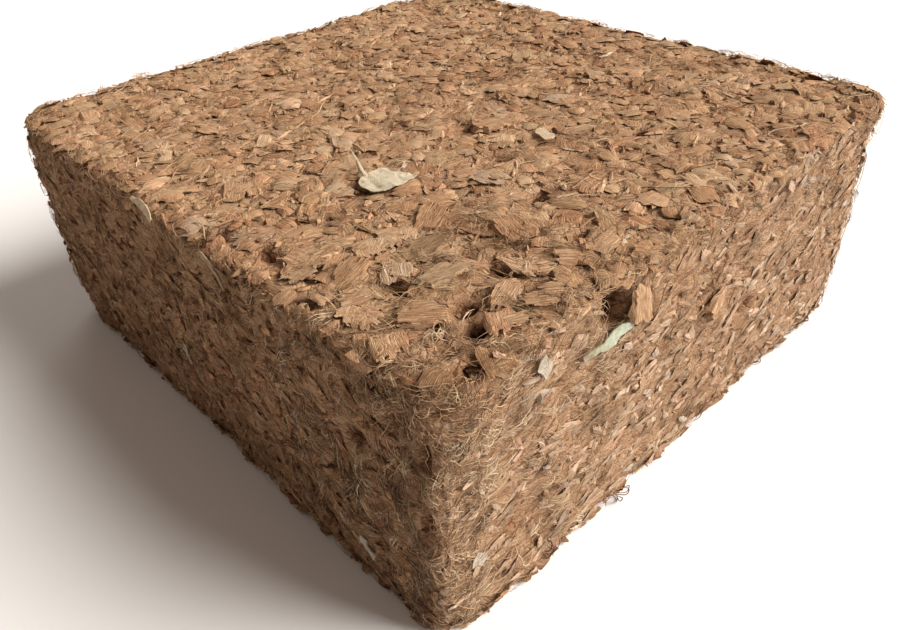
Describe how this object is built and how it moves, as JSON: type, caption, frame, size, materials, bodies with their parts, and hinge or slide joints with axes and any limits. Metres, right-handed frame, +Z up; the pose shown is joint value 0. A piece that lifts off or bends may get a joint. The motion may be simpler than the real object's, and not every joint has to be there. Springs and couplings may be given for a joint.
{
  "type": "coconut coir bale",
  "caption": "Square block of coconut husk chips, pith and fibre, pressed dry for storage and soaked apart as growing medium or animal bedding.",
  "frame": {"origin": "middle of the underside, on the ground", "axes": "+Z up; X and Y along the sides of the block; the side lit in the picture faces -Y and the shaded one faces -X"},
  "size_m": [0.3031, 0.3116, 0.1226],
  "materials": {
    "pressed_husk": "raw, rough and fibrous",
    "husk_chip": "raw, torn along the grain",
    "cream_husk": "raw, dry skin",
    "green_husk": "raw, dry skin",
    "dry_leaf": "dry and papery"
  },
  "bodies": {
    "root": {"pressed_bale": "pressed_husk", "husk_chip_01": "husk_chip", "husk_chip_02": "husk_chip", "husk_chip_03": "husk_chip", "husk_chip_04": "husk_chip", "husk_chip_05": "husk_chip", "husk_chip_06": "husk_chip", "husk_chip_07": "husk_chip", "husk_chip_08": "husk_chip", "husk_chip_09": "husk_chip", "husk_chip_10": "husk_chip", "husk_chip_11": "husk_chip", "husk_chip_12": "husk_chip", "cream_husk_strip": "cream_husk", "tan_husk_strip": "cream_husk", "grey_husk_scrap": "cream_husk", "white_husk_scrap": "cream_husk", "white_husk_sliver": "cream_husk", "pale_side_scrap": "cream_husk", "beige_top_scrap": "cream_husk", "green_husk_scrap": "green_husk", "dry_leaf": "dry_leaf"}
  },
  "joints": []
}
